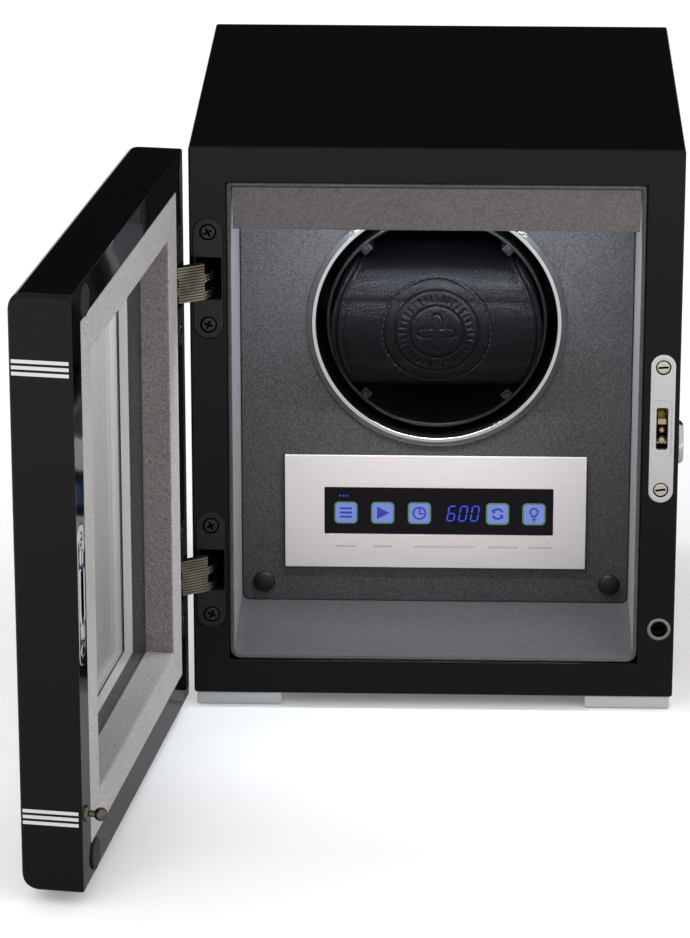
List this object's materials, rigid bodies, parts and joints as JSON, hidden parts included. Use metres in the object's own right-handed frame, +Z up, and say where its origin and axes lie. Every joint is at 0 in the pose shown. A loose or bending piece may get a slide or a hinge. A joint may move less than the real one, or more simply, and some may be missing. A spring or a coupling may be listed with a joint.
{
  "type": "watch winder box",
  "caption": "Gloss black box with an open glazed door; a round cup turns a leather cuff behind a suede-lined fascia with a lit control plate.",
  "frame": {"origin": "on the supporting surface, under the middle of the whole object's box with the door standing open", "axes": "+Z up, +Y from the front of the case to its back, +X to the right seen from the front"},
  "size_m": [0.256, 0.4018, 0.243],
  "materials": {
    "black_lacquer": "high-gloss black lacquer over fibreboard, with soft rounded edges",
    "case_suede": "dark grey micro-suede on board, short matt nap",
    "pelmet_suede": "warm taupe micro-suede on board, short matt nap",
    "door_suede": "light warm grey micro-suede, short matt nap",
    "brushed_plate": "pale champagne, finely brushed left to right",
    "polished_ring": "bright turned metal",
    "chrome": "polished nickel-chrome",
    "satin_foot": "satin silver",
    "antique_nickel": "aged nickel over brass, bright on the worn edges",
    "black_hardware": "satin black",
    "steel": "plain steel",
    "brass": "turned brass",
    "smoked_window": "smoked violet acrylic with lit symbols behind it",
    "black_plastic": "satin black moulding",
    "white_plastic": "natural white moulding",
    "circuit_board": "green solder mask",
    "rubber": "black, semi-matt",
    "leather": "black grained leatherette with a soft sheen",
    "rear_panel": "satin black painted fibreboard",
    "door_glass": "clear float glass",
    "led_light": "cool white lamp strip"
  },
  "bodies": {
    "case": {"case_top": "black_lacquer", "case_bottom": "black_lacquer", "case_side_left": "black_lacquer", "case_side_right": "black_lacquer", "lining_left": "case_suede", "lining_right": "case_suede", "lining_floor": "case_suede", "fascia_panel": "case_suede", "light_pelmet": "pelmet_suede", "control_plate": "brushed_plate", "bezel_ring": "polished_ring", "lock_plate": "chrome", "key_escutcheon": "chrome", "foot_front_left": "satin_foot", "foot_front_right": "satin_foot", "foot_rear_left": "satin_foot", "foot_rear_right": "satin_foot", "catch_socket": "antique_nickel", "hinge_leaf_case_upper": "black_hardware", "hinge_leaf_case_lower": "black_hardware", "mechanism_plate": "steel", "gear_motor": "steel", "lock_case": "steel", "spindle_bearing": "brass", "display_window": "smoked_window", "dc_socket": "black_plastic", "drum_housing": "black_plastic", "control_board": "circuit_board", "fascia_plug_left": "rubber", "fascia_plug_right": "rubber", "drive_belt": "rubber", "rear_cover": "rear_panel", "led_strip": "led_light"},
    "cup": {"winding_cup": "black_plastic", "spindle": "steel", "cup_pulley": "white_plastic"},
    "cuff": {"cushion_cover": "leather", "cushion_core": "black_plastic"},
    "motor_rotor": {"motor_pulley": "white_plastic", "motor_shaft": "steel"},
    "lock_bolt": {"lock_hook": "brass"},
    "key_cylinder": {"lock_barrel": "brass"},
    "case_links": {"hinge_links_case_upper": "antique_nickel", "hinge_links_case_lower": "antique_nickel"},
    "door_links": {"hinge_links_door_upper": "antique_nickel", "hinge_links_door_lower": "antique_nickel"},
    "door": {"door_top_rail": "black_lacquer", "door_bottom_rail": "black_lacquer", "door_hinge_stile": "black_lacquer", "door_lock_stile": "black_lacquer", "door_liner": "door_suede", "glazing_trim": "polished_ring", "door_glass": "door_glass", "hinge_leaf_door_upper": "black_hardware", "hinge_leaf_door_lower": "black_hardware", "lock_striker": "chrome", "catch_stud": "antique_nickel", "door_bumper_upper": "rubber", "door_bumper_lower": "rubber"}
  },
  "joints": [
    {"name": "door_swing", "type": "hinge", "parent": "case", "child": "door", "pos_m": [-0.07562, -0.00172, 0.1245], "axis": [0, 0, 1], "range_deg": [-17, 98]},
    {"name": "case_links_turn", "type": "hinge", "parent": "case", "child": "case_links", "pos_m": [-0.06542, 0.00108, 0.1245], "axis": [0, 0, 1], "range_deg": [-9, 49.5]},
    {"name": "door_links_turn", "type": "hinge", "parent": "door", "child": "door_links", "pos_m": [-0.07981, -0.01143, 0.1245], "axis": [0, 0, 1], "range_deg": [-49.5, 9]},
    {"name": "cup_spin", "type": "hinge", "parent": "case", "child": "cup", "pos_m": [0.02558, 0.09, 0.149], "axis": [0, 1, 0], "continuous": true},
    {"name": "motor_spin", "type": "hinge", "parent": "case", "child": "motor_rotor", "pos_m": [0.02558, 0.13, 0.079], "axis": [0, 1, 0], "continuous": true},
    {"name": "cuff_pull", "type": "slide", "parent": "cup", "child": "cuff", "axis": [0, -1, 0], "range_m": [0, 0.045]},
    {"name": "key_turn", "type": "hinge", "parent": "case", "child": "key_cylinder", "pos_m": [0.12, 0.01128, 0.115], "axis": [1, 0, 0], "range_deg": [0, 90]},
    {"name": "hook_turn", "type": "hinge", "parent": "case", "child": "lock_bolt", "pos_m": [0.11858, 0.00538, 0.1368], "axis": [-1, 0, 0], "range_deg": [0, 75]}
  ],
  "couplings": [
    {"joint": "case_links_turn", "follows": "door_swing", "ratio": 0.5},
    {"joint": "door_links_turn", "follows": "door_swing", "ratio": -0.5},
    {"joint": "motor_spin", "follows": "cup_spin", "ratio": 3},
    {"joint": "hook_turn", "follows": "key_turn", "ratio": 0.83333}
  ]
}
